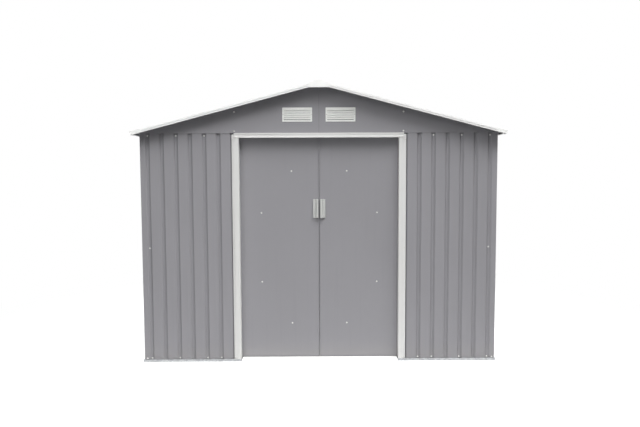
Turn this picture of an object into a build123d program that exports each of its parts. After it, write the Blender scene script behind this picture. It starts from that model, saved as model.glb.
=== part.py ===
from build123d import *
import math
import os

os.makedirs("parts", exist_ok=True)

# Sheet and section thicknesses, millimetres
sheet_t = 0.8
frame_t = 1.0
plastic_t = 2.0

# Walls, over their outer faces; x runs across the front, y from front to back
wall_width = 2524.0
wall_depth = 1704.0
wall_top = 1639.0
groove_pitch = 100.0
groove_open = 34.0
groove_floor = 12.0
groove_depth = 11.0
corner_leg = 52.0
lap_inset = 4.0
lap_floor_gap = 2.0

# Base rails
base_lip_out = 8.0
base_lip_height = 18.0
base_flange_in = 60.0
base_upright_top = 60.0

# Doorway
doorway_width = 1131.0
jamb_face = 34.0
jamb_bend = 2.0
jamb_flange = 14.0
jamb_proud = 8.0
jamb_return = 38.0
jamb_lip = 8.0
jamb_head_gap = 8.0
header_width = 1198.0
header_height = 33.0
header_lap = 1.0
header_proud = 10.5
header_edge = 9.0
header_bend = 3.0
sill_out = 30.0
sill_foot = 6.0
sill_ramp = 22.0
sill_cover = 2.0
sill_door_gap = 5.3
sill_end_gap = 6.0

# Doors and their tracks
door_setback = 45.0
door_thickness = 22.0
door_overlap = 27.5
door_seam = 3.0
door_head_cover = 18.0
door_edge_width = 9.0
door_edge_proud = 1.2
glide_thickness = 9.0
glide_length = 60.0
glide_inset = 70.0
track_clearance = 1.5
track_height = 9.0
track_gap = 6.0
track_end_gap = 2.0
glide_head_gap = 3.0
brace_width = 36.0
brace_depth = 10.0
brace_end_gap = 14.0
brace_half_gap = 36.0

# Handles
handle_width = 38.0
handle_height = 133.0
handle_middle = 1101.5
handle_depth = 24.0
handle_from_edge = 4.0
handle_grip = 16.0
handle_bend = 4.0
handle_pan = 8.0
handle_pan_proud = 7.0
handle_rim_proud = 10.0

# Rails behind the sheets
rail_depth = 26.0
front_mid_rail_depth = 23.0
top_rail_height = 32.0
mid_rail_height = 40.0
mid_rail_middle = 824.0
corner_gap = 1.0

# Roof
roof_pitch = 14.7
side_overhang = 38.0
front_overhang = 80.0
roof_seat = 1.8
roof_rib_count = 8
roof_rib_height = 10.0
roof_rib_base = 34.0
roof_rib_top = 16.0
roof_edge_fold = 18.0
ridge_gap = 3.0
ridge_cap_reach = 95.0
purlin_place = 675.0
purlin_depth = 40.0
purlin_width = 30.0

# White edge trims and their plastic caps
trim_height = 21.0
trim_flange = 25.0
trim_step = 2.0
trim_return = 10.0
end_cap_half_width = 80.0
end_cap_top_half = 33.0
end_cap_rise = 5.0
end_cap_drop = 20.0
end_cap_taper = 8.0
end_cap_wing = 2.0
end_cap_length = 40.0
corner_cap_length = 74.0
corner_cap_side = 60.0

# Gables and louvred vents
gable_lap = 3.0
gable_proud = 3.0
gable_flange = 14.0
gable_seam_gap = 0.4
vent_width = 209.5
vent_height = 98.5
vent_corner = 3.0
vent_middle_x = 152.0
vent_middle_z = 1764.5
vent_border = 11.0
vent_proud = 3.0
vent_hole_gap = 0.5
vent_slats = 5
vent_depth = 14.0
slat_face = 10.4
slat_inset = 1.0
slat_run = 9.0
slat_rise = 4.5

# Places worked out from the sizes above
front_y = -wall_depth / 2
half_width = wall_width / 2
half_doorway = doorway_width / 2
wall_back = groove_depth + sheet_t
gable_bottom = wall_top - gable_lap
jamb_top = gable_bottom - jamb_head_gap
header_top = gable_bottom + header_lap
header_bottom = header_top - header_height
door_top = header_bottom + door_head_cover
track_low = frame_t
track_top = track_low + track_height
door_bottom = track_top + track_gap
pitch = math.radians(roof_pitch)
ridge_height = wall_top + roof_seat + half_width * math.tan(pitch)
eave_x = half_width + side_overhang
slope_end = eave_x / math.cos(pitch) - frame_t
roof_front = front_y - front_overhang
lap_x = half_width - corner_leg
lap_y = -front_y - corner_leg


def on_slope(along, above):
    """A point of the right-hand roof: along the slope from the ridge, above the sheet's underside."""
    x = along * math.cos(pitch) + above * math.sin(pitch)
    z = ridge_height - along * math.sin(pitch) + above * math.cos(pitch)
    return (x, z)


def roof_underside(x):
    """Height of the roof sheet's underside at a distance x from the ridge."""
    return ridge_height - abs(x) * math.tan(pitch)


def slope_section(along):
    """The plane across the right-hand slope: its x is the shed's y, its y points up from the sheet."""
    x, z = on_slope(along, 0)
    return Plane(origin=(x, 0, z), x_dir=(0, 1, 0), z_dir=(math.cos(pitch), 0, -math.sin(pitch)))


def folded(points, thickness):
    """Add a folded sheet's section to the sketch at work.

    The points follow the sheet's outer surface. Its thickness lies to the left of that way,
    or to the right where it is negative, with mitred bends.
    """
    corners = [Vector(*point) for point in points]
    across = [(end - start).normalized().rotate(Axis.Z, 90) for start, end in zip(corners, corners[1:])]
    inner = []
    for corner, before, after in zip(corners, across[:1] + across, across + across[-1:]):
        middle = (before + after).normalized()
        inner.append(corner + middle * (thickness / middle.dot(after)))
    Polygon(*corners, *reversed(inner), align=None)


def grooved(centres, first, last):
    """Points of a corrugated sheet's outer surface: distance along it, and depth behind its face."""
    points = [first]
    for centre in centres:
        points.append((centre - groove_open / 2, 0))
        points.append((centre - groove_floor / 2, groove_depth))
        points.append((centre + groove_floor / 2, groove_depth))
        points.append((centre + groove_open / 2, 0))
    points.extend(last)
    return points


def lap_down(centre):
    """The sheet's end in the lap groove, where the corner panel covers it."""
    return [(centre - groove_open / 2, 0), (centre - groove_floor / 2, groove_depth),
            (centre + groove_floor / 2 - lap_floor_gap, groove_depth)]


def finish(piece, name):
    """Label a finished piece and write its file."""
    piece.part.label = name
    export_step(piece.part, "parts/" + name + ".step")


def mirrored(piece, name, about):
    """Write the opposite hand of a finished piece."""
    with BuildPart() as other:
        mirror(piece.part, about=about)
    finish(other, name)
    return other


# Base rails: a folded section with a lip outside the walls and an upright behind them
base_lip = half_width + base_lip_out
base_front = front_y - base_lip_out


def base_section():
    """The rail's section: distance in from the wall's face, and height."""
    return [(base_flange_in, 0), (-base_lip_out, 0), (-base_lip_out, base_lip_height),
            (wall_back, base_lip_height), (wall_back, base_upright_top)]


with BuildPart() as base_rail_back:
    with BuildSketch(Plane.YZ.offset(-base_lip)):
        folded([(-front_y - d, z) for d, z in base_section()], frame_t)
    extrude(amount=2 * base_lip)
    split(bisect_by=Plane(origin=(base_lip, -base_front, 0), z_dir=(-1, 1, 0)))
    split(bisect_by=Plane(origin=(-base_lip, -base_front, 0), z_dir=(1, 1, 0)))
finish(base_rail_back, "base_rail_back")

with BuildPart() as base_rail_front:
    mirror(base_rail_back.part, about=Plane.XZ)
    with BuildSketch(Plane.XY.offset(base_lip_height)):
        with Locations((0, front_y)):
            Rectangle(doorway_width + 2 * frame_t, 4 * base_flange_in)
    extrude(amount=base_upright_top, mode=Mode.SUBTRACT)
finish(base_rail_front, "base_rail_front")

with BuildPart() as side_base_rails:
    with BuildSketch(Plane.XZ.offset(base_front)):
        folded([(half_width - d, z) for d, z in base_section()], frame_t)
    extrude(amount=-2 * base_front)
    split(bisect_by=Plane(origin=(base_lip, base_front, 0), z_dir=(1, 1, 0)))
    split(bisect_by=Plane(origin=(base_lip, -base_front, 0), z_dir=(1, -1, 0)))
    mirror(about=Plane.YZ)
finish(side_base_rails, "side_base_rails")

# Corrugated walls
wall_height = wall_top - base_lip_height
front_count = int((lap_x - half_doorway - groove_open) / groove_pitch)
side_count = int((lap_y - groove_open) / groove_pitch)
back_count = int((lap_x - groove_open) / groove_pitch)
front_grooves = [lap_x - groove_pitch * k for k in range(1, front_count + 1)]
side_grooves = [groove_pitch * k for k in range(-side_count, side_count + 1)]
back_grooves = [lap_x - groove_pitch * k for k in range(1, back_count + 1)]

with BuildPart() as front_wall_right:
    with BuildSketch(Plane.XY.offset(base_lip_height)):
        section = grooved(sorted(front_grooves), (half_doorway + 3 * frame_t, 0), lap_down(lap_x))
        folded([(x, front_y + d) for x, d in section], sheet_t)
    extrude(amount=wall_height)
finish(front_wall_right, "front_wall_right")
mirrored(front_wall_right, "front_wall_left", Plane.YZ)

with BuildPart() as right_wall:
    with BuildSketch(Plane.XY.offset(base_lip_height)):
        ends = lap_down(lap_y)
        section = grooved(side_grooves, (-ends[2][0], groove_depth), ends)
        section.insert(1, (-ends[1][0], groove_depth))
        section.insert(2, (-ends[0][0], 0))
        folded([(half_width - d, y) for y, d in section], sheet_t)
    extrude(amount=wall_height)
finish(right_wall, "right_wall")
mirrored(right_wall, "left_wall", Plane.YZ)

with BuildPart() as back_wall:
    with BuildSketch(Plane.XY.offset(base_lip_height)):
        section = grooved(sorted(back_grooves), (sheet_t, 0), lap_down(lap_x))
        folded([(x, -front_y - d) for x, d in section], -sheet_t)
    extrude(amount=wall_height)
    mirror(about=Plane.YZ)
finish(back_wall, "back_wall")

# Corner panels, which lap over the walls' last grooves
with BuildPart() as corner_front_right:
    with BuildSketch(Plane.XY.offset(base_lip_height)):
        lap_floor = groove_depth - sheet_t
        flank_end = (groove_open - groove_floor) / 2 * lap_floor / groove_depth
        leg = [(corner_leg + groove_floor / 2 - lap_inset, lap_floor),
               (corner_leg - groove_open / 2 + flank_end, lap_floor),
               (corner_leg - groove_open / 2, 0)]
        front_leg = [(half_width - u, front_y + d) for u, d in leg]
        side_leg = [(half_width - d, front_y + u) for u, d in reversed(leg)]
        folded(front_leg + [(half_width, front_y)] + side_leg, sheet_t)
    extrude(amount=wall_height)
finish(corner_front_right, "corner_front_right")
corner_front_left = mirrored(corner_front_right, "corner_front_left", Plane.YZ)
mirrored(corner_front_right, "corner_back_right", Plane.XZ)
mirrored(corner_front_left, "corner_back_left", Plane.XZ)

# Rails behind the sheets, at the walls' top and at half height
rail_front = front_y + wall_back
rail_side = half_width - wall_back
rail_inner_y = -rail_front - rail_depth - corner_gap
mid_low = mid_rail_middle - mid_rail_height / 2
mid_high = mid_rail_middle + mid_rail_height / 2


def channel(face, inward, low, high):
    """A channel's outer surface: its web on the sheet, its two flanges pointing into the shed."""
    return [(face + inward, low), (face, low), (face, high), (face + inward, high)]


with BuildPart() as top_rail_front:
    with BuildSketch(Plane.YZ.offset(-rail_side)):
        folded(channel(rail_front, rail_depth, wall_top - top_rail_height, wall_top), -frame_t)
    extrude(amount=2 * rail_side)
finish(top_rail_front, "top_rail_front")
mirrored(top_rail_front, "top_rail_back", Plane.XZ)

with BuildPart() as side_top_rails:
    with BuildSketch(Plane.XZ.offset(-rail_inner_y)):
        folded([(rail_side - rail_depth, wall_top - top_rail_height),
                (rail_side, wall_top - top_rail_height),
                (rail_side, roof_underside(rail_side)),
                (rail_side - rail_depth, roof_underside(rail_side - rail_depth))], frame_t)
    extrude(amount=2 * rail_inner_y)
    mirror(about=Plane.YZ)
finish(side_top_rails, "side_top_rails")

with BuildPart() as front_mid_rails:
    with BuildSketch(Plane.YZ.offset(half_doorway + jamb_lip + corner_gap)):
        folded(channel(rail_front, front_mid_rail_depth, mid_low, mid_high), -frame_t)
    extrude(amount=rail_side - half_doorway - jamb_lip - corner_gap)
    mirror(about=Plane.YZ)
finish(front_mid_rails, "front_mid_rails")

with BuildPart() as back_mid_rail:
    with BuildSketch(Plane.YZ.offset(-rail_side)):
        folded(channel(-rail_front, -rail_depth, mid_low, mid_high), frame_t)
    extrude(amount=2 * rail_side)
finish(back_mid_rail, "back_mid_rail")

with BuildPart() as side_mid_rails:
    with BuildSketch(Plane.XZ.offset(-rail_inner_y)):
        folded(channel(rail_side, -rail_depth, mid_low, mid_high), frame_t)
    extrude(amount=2 * rail_inner_y)
    mirror(about=Plane.YZ)
finish(side_mid_rails, "side_mid_rails")

# Gables: two sheets a side, folded at the bottom, at the seam and under the roof
vent_hole_width = vent_width - vent_border
vent_hole_height = vent_height - vent_border


def flat_face(low, high):
    """Outline of one gable sheet between the seam and the wall's corner."""
    return [(gable_seam_gap, low), (half_width, low), (half_width, high(half_width)),
            (gable_seam_gap, high(gable_seam_gap))]


with BuildPart() as front_gable:
    gable_face = -front_y + gable_proud
    with BuildSketch(Plane.XZ.offset(gable_face)):
        Polygon(*flat_face(gable_bottom, roof_underside), align=None)
        with Locations((vent_middle_x, vent_middle_z)):
            Rectangle(vent_hole_width, vent_hole_height, mode=Mode.SUBTRACT)
    extrude(amount=-sheet_t)
    with BuildSketch(Plane.XZ.offset(gable_face)):
        with Locations((gable_seam_gap, gable_bottom)):
            Rectangle(half_width - gable_seam_gap, sheet_t, align=(Align.MIN, Align.MIN))
    extrude(amount=-gable_proud)
    with BuildSketch(Plane.XZ.offset(gable_face)):
        Polygon(*flat_face(gable_bottom, roof_underside), align=None)
        Polygon(*flat_face(gable_bottom, lambda x: roof_underside(x) - sheet_t / math.cos(pitch)),
                align=None, mode=Mode.SUBTRACT)
        with Locations((gable_seam_gap, wall_top + 2 * frame_t)):
            Rectangle(sheet_t, ridge_height - wall_top - 4 * frame_t, align=(Align.MIN, Align.MIN))
    extrude(amount=-gable_flange)
    mirror(about=Plane.YZ)
finish(front_gable, "front_gable")
mirrored(front_gable, "back_gable", Plane.XZ)

# Louvred vents, set into the gables
with BuildPart() as front_vents:
    open_width = vent_width - 2 * vent_border
    open_height = vent_height - 2 * vent_border
    with BuildSketch(Plane.XZ.offset(gable_face)):
        with Locations((vent_middle_x, vent_middle_z)):
            RectangleRounded(vent_width, vent_height, vent_corner)
            Rectangle(open_width, open_height, mode=Mode.SUBTRACT)
    extrude(amount=vent_proud)
    with BuildSketch(Plane.XZ.offset(gable_face)):
        with Locations((vent_middle_x, vent_middle_z)):
            Rectangle(vent_hole_width - 2 * vent_hole_gap, vent_hole_height - 2 * vent_hole_gap)
            Rectangle(open_width, open_height, mode=Mode.SUBTRACT)
    extrude(amount=-vent_depth)
    slat_front = -gable_face - vent_proud + slat_inset
    slat_pitch = open_height / vent_slats
    for slat in range(vent_slats):
        high = vent_middle_z - open_height / 2 + slat_pitch * (slat + 1)
        with BuildSketch(Plane.YZ.offset(vent_middle_x - open_width / 2)):
            folded([(slat_front, high - slat_face), (slat_front, high),
                    (slat_front + slat_run, high + slat_rise)], -plastic_t)
        extrude(amount=open_width)
    mirror(about=Plane.YZ)
finish(front_vents, "front_vents")
mirrored(front_vents, "back_vents", Plane.XZ)

# Doorway: jambs, header and sill
with BuildPart() as jamb_right:
    with BuildSketch(Plane.XY.offset(base_lip_height)):
        face = half_doorway + jamb_face
        folded([(face + jamb_bend + jamb_flange, front_y - frame_t), (face + jamb_bend, front_y - frame_t),
                (face, front_y - jamb_proud), (half_doorway, front_y - jamb_proud),
                (half_doorway, front_y + jamb_return),
                (half_doorway + jamb_lip, front_y + jamb_return)], -frame_t)
    extrude(amount=jamb_top - base_lip_height)
    with BuildSketch(Plane.XY.offset(wall_top - top_rail_height)):
        with Locations((half_doorway, front_y + groove_depth)):
            Rectangle(2 * jamb_face, jamb_return, align=(Align.CENTER, Align.MIN))
    extrude(amount=jamb_top, mode=Mode.SUBTRACT)
finish(jamb_right, "jamb_right")
mirrored(jamb_right, "jamb_left", Plane.YZ)

with BuildPart() as door_header:
    with BuildSketch(Plane.YZ.offset(-header_width / 2)):
        outer = front_y - header_proud
        inner = front_y - jamb_proud - frame_t
        folded([(front_y - gable_proud, header_top), (outer, header_top),
                (outer, header_top - header_edge), (inner, header_top - header_edge - header_bend),
                (inner, header_bottom + header_edge + header_bend), (outer, header_bottom + header_edge),
                (outer, header_bottom), (front_y - jamb_proud, header_bottom)], frame_t)
    extrude(amount=header_width)
finish(door_header, "door_header")

# The sill, a plate with a ramp over the front rail, and the tracks in which the doors' glides run
door_middle = front_y + door_setback + door_thickness / 2
groove_half = glide_thickness / 2 + track_clearance + frame_t
track_half_length = rail_side - track_end_gap

sill_top = base_lip_height + sill_cover
sill_back = front_y + door_setback - door_edge_proud - sill_door_gap

with BuildPart() as door_sill:
    with BuildSketch(Plane.YZ.offset(sill_end_gap - half_doorway)):
        folded([(front_y - sill_out, 0), (front_y - sill_out, sill_foot),
                (front_y - sill_out + sill_ramp, sill_top), (sill_back, sill_top),
                (sill_back, frame_t)], -frame_t)
    extrude(amount=doorway_width - 2 * sill_end_gap)
finish(door_sill, "door_sill")

with BuildPart() as lower_track:
    with BuildSketch(Plane.YZ.offset(-track_half_length)):
        near = door_middle - groove_half
        far = door_middle + groove_half
        folded([(near, track_top), (near, track_low), (far, track_low), (far, track_top)], frame_t)
    extrude(amount=2 * track_half_length)
finish(lower_track, "lower_track")

upper_track_low = door_top + track_gap
with BuildPart() as upper_track:
    with BuildSketch(Plane.YZ.offset(-track_half_length)):
        near = door_middle - groove_half
        far = door_middle + groove_half
        high = wall_top + frame_t
        folded([(near, upper_track_low), (near, high), (far, high), (far, upper_track_low)],
               -frame_t)
        with Locations((rail_front, wall_top)):
            Rectangle(near - rail_front + frame_t, frame_t, align=(Align.MIN, Align.MIN))
    extrude(amount=2 * track_half_length)
finish(upper_track, "upper_track")

# Sliding doors: a folded tray, braces, glides and a handle each
leaf_inner = door_seam / 2
leaf_outer = half_doorway + door_overlap
door_face = front_y + door_setback
door_height = door_top - door_bottom

with BuildPart() as right_door_panel:
    with BuildSketch(Plane.XY.offset(door_bottom)):
        with Locations((leaf_inner, door_face)):
            Rectangle(leaf_outer - leaf_inner, door_thickness, align=(Align.MIN, Align.MIN))
    extrude(amount=door_height)
    offset(amount=-sheet_t, openings=faces().sort_by(Axis.Y)[-1])
    with BuildSketch(Plane.XY.offset(door_bottom)):
        with Locations((leaf_inner, door_face - door_edge_proud)):
            Rectangle(door_edge_width, door_edge_proud, align=(Align.MIN, Align.MIN))
    extrude(amount=door_height)
finish(right_door_panel, "right_door_panel")
mirrored(right_door_panel, "left_door_panel", Plane.YZ)

with BuildPart() as right_door_braces:
    brace_face = -door_face - sheet_t
    inner_x = leaf_inner + sheet_t + brace_width / 2
    outer_x = leaf_outer - sheet_t - brace_width / 2
    middle_z = (door_top + door_bottom) / 2
    for level in (1, -1):
        inner_z = middle_z + level * (door_height / 2 - sheet_t - brace_end_gap)
        outer_z = middle_z + level * brace_half_gap
        with BuildSketch(Plane.XZ.offset(brace_face)):
            with BuildLine():
                Line((inner_x, inner_z), (outer_x, outer_z))
            trace(line_width=brace_width)
        extrude(amount=-brace_depth)
        with BuildSketch(Plane.XZ.offset(brace_face - frame_t)):
            with BuildLine():
                Line((inner_x, inner_z), (outer_x, outer_z))
            trace(line_width=brace_width - 2 * frame_t)
        extrude(amount=-brace_depth, mode=Mode.SUBTRACT)
finish(right_door_braces, "right_door_braces")
mirrored(right_door_braces, "left_door_braces", Plane.YZ)

with BuildPart() as right_door_glides:
    glide_low = track_low + frame_t + track_clearance
    for x in (leaf_inner + glide_inset, leaf_outer - glide_inset):
        with BuildSketch(Plane.XY.offset(glide_low)):
            with Locations((x, door_middle)):
                Rectangle(glide_length, glide_thickness)
        extrude(amount=door_bottom - glide_low)
        with BuildSketch(Plane.XY.offset(door_top)):
            with Locations((x, door_middle)):
                Rectangle(glide_length, glide_thickness)
        extrude(amount=wall_top - glide_head_gap - door_top)
finish(right_door_glides, "right_door_glides")
mirrored(right_door_glides, "left_door_glides", Plane.YZ)

# The handle's section runs from the leaf's inner edge outwards: rounded grip, pan and rim
with BuildPart() as right_door_handle:
    grip_x = leaf_inner + handle_from_edge
    grip_end = grip_x + handle_grip
    rim_x = grip_x + handle_width
    grip_y = door_face - handle_depth + handle_grip / 2
    pan_y = door_face - handle_pan_proud
    rim_y = door_face - handle_rim_proud
    edge_end = leaf_inner + door_edge_width
    with BuildSketch(Plane.XY.offset(handle_middle - handle_height / 2)):
        with BuildLine():
            Line((grip_x, door_face - door_edge_proud), (grip_x, grip_y))
            ThreePointArc((grip_x, grip_y), ((grip_x + grip_end) / 2, door_face - handle_depth),
                          (grip_end, grip_y))
            Polyline((grip_end, grip_y), (grip_end + handle_bend, pan_y),
                     (grip_end + handle_bend + handle_pan, pan_y),
                     (grip_end + 2 * handle_bend + handle_pan, rim_y),
                     (rim_x, rim_y), (rim_x, door_face), (edge_end, door_face),
                     (edge_end, door_face - door_edge_proud), (grip_x, door_face - door_edge_proud))
        make_face()
    extrude(amount=handle_height)
finish(right_door_handle, "right_door_handle")
mirrored(right_door_handle, "left_door_handle", Plane.YZ)

# Roof sheets, ribbed down the slope, with raised side edges under the trims
sheet_edge = roof_front + frame_t
rib_pitch = -2 * sheet_edge / (roof_rib_count + 1)

with BuildPart() as roof_right:
    with BuildSketch(slope_section(ridge_gap)):
        flank = (roof_rib_base - roof_rib_top) / 2
        section = [(sheet_edge, roof_rib_height), (sheet_edge + roof_edge_fold, roof_rib_height),
                   (sheet_edge + roof_edge_fold + flank, 0)]
        for rib in range(1, roof_rib_count + 1):
            centre = sheet_edge + rib * rib_pitch
            section.append((centre - roof_rib_base / 2, 0))
            section.append((centre - roof_rib_top / 2, roof_rib_height))
            section.append((centre + roof_rib_top / 2, roof_rib_height))
            section.append((centre + roof_rib_base / 2, 0))
        section.extend([(-y, n) for y, n in reversed(section[:3])])
        folded(section, sheet_t)
    extrude(amount=slope_end - ridge_gap)
finish(roof_right, "roof_right")
mirrored(roof_right, "roof_left", Plane.YZ)

rib_crest = roof_rib_height + sheet_t
trim_top = rib_crest + frame_t
trim_low = trim_top - trim_height
trim_inner_y = roof_front + trim_flange

with BuildPart() as front_trim:
    with BuildSketch(slope_section(ridge_gap + frame_t)):
        middle = (trim_top + trim_low) / 2
        folded([(trim_inner_y, trim_top), (roof_front, trim_top), (roof_front, middle + trim_step / 2),
                (roof_front + trim_step, middle - trim_step / 2), (roof_front + trim_step, trim_low),
                (roof_front + trim_step + trim_return, trim_low)], frame_t)
    extrude(amount=slope_end - ridge_gap)
    mirror(about=Plane.YZ)
finish(front_trim, "front_trim")
mirrored(front_trim, "back_trim", Plane.XZ)

with BuildPart() as eave_trims:
    with BuildSketch(Plane.XZ.offset(trim_inner_y)):
        edge = slope_end + frame_t
        folded([on_slope(edge - trim_flange, trim_top), on_slope(edge, trim_top),
                on_slope(edge, trim_low), on_slope(edge - trim_return, trim_low)], -frame_t)
    extrude(amount=-2 * trim_inner_y)
    mirror(about=Plane.YZ)
finish(eave_trims, "eave_trims")

with BuildPart() as ridge_cap:
    with BuildSketch(Plane.XZ.offset(trim_inner_y)):
        cap_x, cap_z = on_slope(ridge_cap_reach, trim_top)
        apex_z = ridge_height + trim_top / math.cos(pitch)
        folded([(-cap_x, cap_z), (0, apex_z), (cap_x, cap_z)], -frame_t)
    extrude(amount=-2 * trim_inner_y)
finish(ridge_cap, "ridge_cap")

with BuildPart() as ridge_end_caps:
    cap_low = ridge_height + trim_low / math.cos(pitch) - end_cap_drop
    cap_top = apex_z + end_cap_rise
    cap_low_half = end_cap_half_width - end_cap_taper
    shoulder = apex_z - end_cap_half_width * math.tan(pitch)
    crown = [(end_cap_half_width, shoulder + end_cap_wing), (end_cap_top_half, cap_top),
             (-end_cap_top_half, cap_top), (-end_cap_half_width, shoulder + end_cap_wing)]
    with BuildSketch(Plane.XZ.offset(-roof_front)):
        Polygon((-cap_low_half, cap_low), (cap_low_half, cap_low), *crown, align=None)
    extrude(amount=plastic_t + frame_t)
    with BuildSketch(Plane.XZ.offset(-roof_front)):
        Polygon((-end_cap_half_width, shoulder), (0, apex_z), (end_cap_half_width, shoulder), *crown,
                align=None)
    extrude(amount=-end_cap_length)
    mirror(about=Plane.XZ)
finish(ridge_end_caps, "ridge_end_caps")

# Corner caps over the ends of the trims
with BuildPart() as roof_corner_caps:
    edge = slope_end + frame_t
    tip_x, tip_z = on_slope(edge, 0)
    cap_plane = Plane(origin=(tip_x, roof_front, tip_z),
                      x_dir=(math.cos(pitch), 0, -math.sin(pitch)),
                      z_dir=(math.sin(pitch), 0, math.cos(pitch)))
    with BuildSketch(cap_plane.offset(trim_top)):
        Polygon((plastic_t, -plastic_t), (-corner_cap_length, -plastic_t), (-corner_cap_length, trim_flange),
                (-trim_flange, trim_flange), (-trim_flange, corner_cap_side),
                (plastic_t, corner_cap_side), align=None)
    extrude(amount=plastic_t)
    with BuildSketch(cap_plane.offset(trim_low - frame_t)):
        Polygon((plastic_t, -plastic_t), (-corner_cap_length, -plastic_t), (-corner_cap_length, 0),
                (0, 0), (0, corner_cap_side), (plastic_t, corner_cap_side), align=None)
    extrude(amount=trim_height + frame_t)
    mirror(about=Plane.YZ)
    mirror(about=Plane.XZ)
finish(roof_corner_caps, "roof_corner_caps")

# Roof beams: one under the ridge and one half way down each slope
beam_end = -front_y + gable_proud - gable_flange
with BuildPart() as roof_beams:
    with BuildSketch(Plane.XZ.offset(-beam_end)):
        folded([on_slope(purlin_place + purlin_width, 0), on_slope(purlin_place, 0),
                on_slope(purlin_place, -purlin_depth),
                on_slope(purlin_place + purlin_width, -purlin_depth)], frame_t)
    extrude(amount=2 * beam_end)
    mirror(about=Plane.YZ)
    with BuildSketch(Plane.XZ.offset(-beam_end)):
        wing_x, wing_z = on_slope(purlin_width, 0)
        folded([(-wing_x, wing_z - purlin_depth), (-wing_x, wing_z), (0, ridge_height), (wing_x, wing_z),
                (wing_x, wing_z - purlin_depth)], -frame_t)
    extrude(amount=2 * beam_end)
finish(roof_beams, "roof_beams")
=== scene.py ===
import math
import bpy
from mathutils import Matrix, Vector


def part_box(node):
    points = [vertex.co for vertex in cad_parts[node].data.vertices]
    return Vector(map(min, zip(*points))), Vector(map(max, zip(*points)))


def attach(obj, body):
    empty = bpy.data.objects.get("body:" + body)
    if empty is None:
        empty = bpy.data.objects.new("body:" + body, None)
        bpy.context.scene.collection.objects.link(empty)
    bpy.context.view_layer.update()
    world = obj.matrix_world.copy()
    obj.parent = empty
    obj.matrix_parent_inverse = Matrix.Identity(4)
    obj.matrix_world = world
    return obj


bl_info = {
    "name": "Metal Garden Shed",
    "version": (1, 0, 0),
    "blender": (4, 5, 0),
    "location": "3D View > Sidebar > Shed",
    "description": "Dresses the CAD model of a corrugated steel garden shed",
    "category": "Object",
}

import bmesh
import bpy
from mathutils import Matrix, Vector

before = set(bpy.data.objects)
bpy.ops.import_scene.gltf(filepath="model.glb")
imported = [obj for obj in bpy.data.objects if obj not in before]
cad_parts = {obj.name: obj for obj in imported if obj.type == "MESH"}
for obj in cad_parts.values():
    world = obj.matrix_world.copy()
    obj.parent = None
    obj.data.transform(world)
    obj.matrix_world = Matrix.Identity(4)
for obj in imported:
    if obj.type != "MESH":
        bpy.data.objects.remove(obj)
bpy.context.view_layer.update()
mm = 0.001

# Faces of the shed that fittings are placed from, read from the frame
wall_face = -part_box("front_wall_right")[0][1]
side_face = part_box("right_wall")[1][0]
wall_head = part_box("front_wall_right")[1][2]
gable_face = -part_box("front_gable")[0][1]
gable_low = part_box("front_gable")[0][2]
vent_face = -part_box("front_vents")[0][1]
vent_back = -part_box("front_vents")[1][1]
jamb_face = -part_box("jamb_right")[0][1]
header_face = -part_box("door_header")[0][1]
roof_front = -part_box("front_trim")[0][1]
eave_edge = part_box("eave_trims")[1][0]
track_low, track_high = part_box("lower_track")
handle_low, handle_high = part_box("right_door_handle")
brace_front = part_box("right_door_braces")[0][1]

# Sizes of the sheet work that the frame doesn't say, in metres
groove_floor = 11.0 * mm
sheet = 0.8 * mm
fold = 1.0 * mm
rail_back = 12.8 * mm
corner_leg = 52.0 * mm
groove_pitch = 100.0 * mm
door_edge_proud = 1.2 * mm
door_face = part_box("right_door_panel")[0][1] + door_edge_proud
handle_pan_x = 29.5 * mm
handle_pan_proud = 7.0 * mm
vent_x = 152.0 * mm
vent_border = 11.0 * mm
roof_tilt = math.radians(14.7)
rib_pitch = 206.9 * mm
rib_crest = 10.8 * mm
trim_top = 11.8 * mm
purlin = 675.0 * mm
ridge_beam_reach = 30.0 * mm

# Rows and columns of the screws, in metres
head_row, middle_row, foot_row = wall_head - 18.5 * mm, 824 * mm, 25 * mm
corner_screw_inset = 20 * mm
front_grooves, front_foot_groove = (2, 4), 5
back_grooves, side_grooves = range(1, 12, 2), range(-6, 7, 2)
gable_screws = ((595 * mm, 1784 * mm), (595 * mm, 1650 * mm))
header_screws, header_drop = (569 * mm, 588 * mm), 27.5 * mm
flange_column, flange_rows = 609 * mm, (28 * mm, 824 * mm, 1590 * mm)
jamb_foot_screws, jamb_foot_row = (575 * mm, 592 * mm), 26 * mm
brace_screws = ((198 * mm, 1370 * mm), (415 * mm, 1071 * mm), (415 * mm, 571 * mm), (198 * mm, 268 * mm))
handle_screw_reach = 48 * mm
roof_ribs = [rib_pitch * (k + 0.5) for k in range(-4, 4)]
roof_rows = ((62 * mm, trim_top), (purlin + 15 * mm, rib_crest), (1277 * mm, rib_crest))
# Smaller screws, as shares of a wall screw's size
light_screw, vent_screw, handle_screw = 0.85, 0.8, 0.72
trim_inset, trim_rows = 13 * mm, (165 * mm, 470 * mm, 775 * mm, 1080 * mm)

walls = ["front_wall_right", "front_wall_left", "right_wall", "left_wall", "back_wall"]
corners = ["corner_front_right", "corner_front_left", "corner_back_right", "corner_back_left"]
roof_sheets = ["roof_right", "roof_left", "ridge_cap"]
gables = ["front_gable", "back_gable"]
door_panels = ["right_door_panel", "left_door_panel"]
doorway_trims = ["jamb_right", "jamb_left", "door_header"]
edge_trims = ["door_sill", "front_trim", "back_trim", "eave_trims"]
moulded_caps = ["ridge_end_caps", "roof_corner_caps"]
moulded_vents = ["front_vents", "back_vents"]
handles = ["right_door_handle", "left_door_handle"]
glides = ["right_door_glides", "left_door_glides"]
rails = ["top_rail_front", "top_rail_back", "side_top_rails", "front_mid_rails", "back_mid_rail",
         "side_mid_rails", "upper_track", "lower_track", "roof_beams", "base_rail_front", "base_rail_back",
         "side_base_rails", "right_door_braces", "left_door_braces"]


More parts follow.
